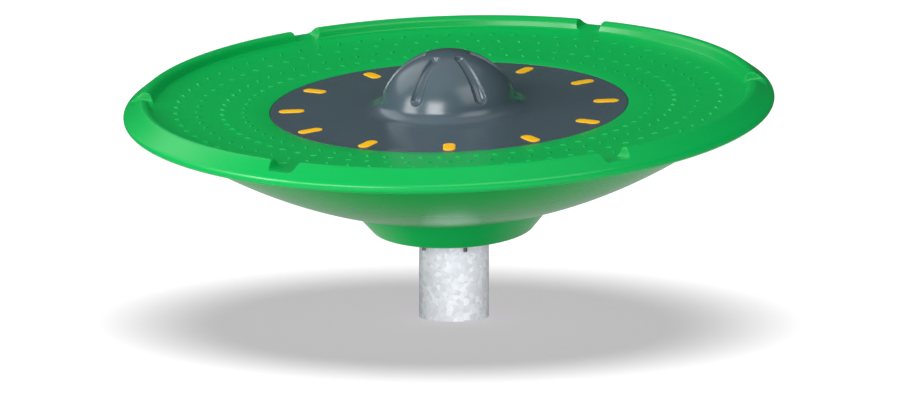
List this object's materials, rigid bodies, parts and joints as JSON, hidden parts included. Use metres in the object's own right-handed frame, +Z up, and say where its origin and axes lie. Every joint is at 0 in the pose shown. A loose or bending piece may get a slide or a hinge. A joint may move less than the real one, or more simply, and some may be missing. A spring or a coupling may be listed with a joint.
{
  "type": "spinner disc",
  "caption": "Leaning playground spinner disc: a dished plastic disc with a notched rim and a grooved dome, turning freely on a round steel post.",
  "frame": {"origin": "middle of the post's foot, on the ground", "axes": "+Z up along the post; the disc leans towards -Y; X completes a right-handed frame"},
  "size_m": [1.2852, 1.2728, 0.5532],
  "materials": {
    "galvanised_steel": "hot-dip galvanised, spangled",
    "zinc_plated_steel": "bright zinc plate",
    "machined_steel": "turned, lightly oiled",
    "bearing_steel": "ground",
    "bronze": "machined",
    "frame_steel": "grey primer",
    "seal_rubber": "satin",
    "green_plastic": "smooth satin moulding",
    "green_underside": "smooth satin moulding",
    "grey_plastic": "fine satin moulding",
    "yellow_plastic": "fine satin moulding"
  },
  "bodies": {
    "fixed_post": {"post": "galvanised_steel", "anchor_sleeve": "machined_steel", "head_plate": "galvanised_steel", "spindle": "machined_steel", "head_bolts": "zinc_plated_steel", "head_washers": "zinc_plated_steel", "head_nuts": "zinc_plated_steel", "lower_inner_ring": "bearing_steel", "upper_inner_ring": "bearing_steel", "spacer_sleeve": "machined_steel", "spindle_washer": "zinc_plated_steel", "spindle_nut": "zinc_plated_steel"},
    "lower_bearing_set": {"lower_balls": "bearing_steel", "lower_cage": "bronze"},
    "upper_bearing_set": {"upper_balls": "bearing_steel", "upper_cage": "bronze"},
    "disc": {"hub_housing": "frame_steel", "lower_outer_ring": "bearing_steel", "upper_outer_ring": "bearing_steel", "retaining_ring": "machined_steel", "shaft_seal": "seal_rubber", "grease_cap": "zinc_plated_steel", "frame_arms": "frame_steel", "frame_ring": "frame_steel", "skirt_web": "frame_steel", "deck_shell": "green_plastic", "bowl_shell": "green_underside", "skirt": "green_plastic", "centre_plate": "grey_plastic", "marks": "yellow_plastic", "plate_screws": "zinc_plated_steel", "ledge_bolts": "zinc_plated_steel", "ledge_nuts": "zinc_plated_steel", "arm_screws": "zinc_plated_steel", "rim_screws": "zinc_plated_steel", "skirt_bolts": "zinc_plated_steel", "skirt_nuts": "zinc_plated_steel"}
  },
  "joints": [
    {"name": "deck_spin", "type": "hinge", "parent": "fixed_post", "child": "disc", "pos_m": [0, -0.04189, 0.43], "axis": [0, -0.1392, 0.9903], "continuous": true},
    {"name": "lower_bearing_roll", "type": "hinge", "parent": "fixed_post", "child": "lower_bearing_set", "pos_m": [0, -0.0135, 0.22798], "axis": [0, -0.1392, 0.9903], "continuous": true},
    {"name": "upper_bearing_roll", "type": "hinge", "parent": "fixed_post", "child": "upper_bearing_set", "pos_m": [0, -0.03006, 0.34583], "axis": [0, -0.1392, 0.9903], "continuous": true}
  ],
  "couplings": [
    {"joint": "lower_bearing_roll", "follows": "deck_spin", "ratio": 0.5824},
    {"joint": "upper_bearing_roll", "follows": "deck_spin", "ratio": 0.5786}
  ]
}
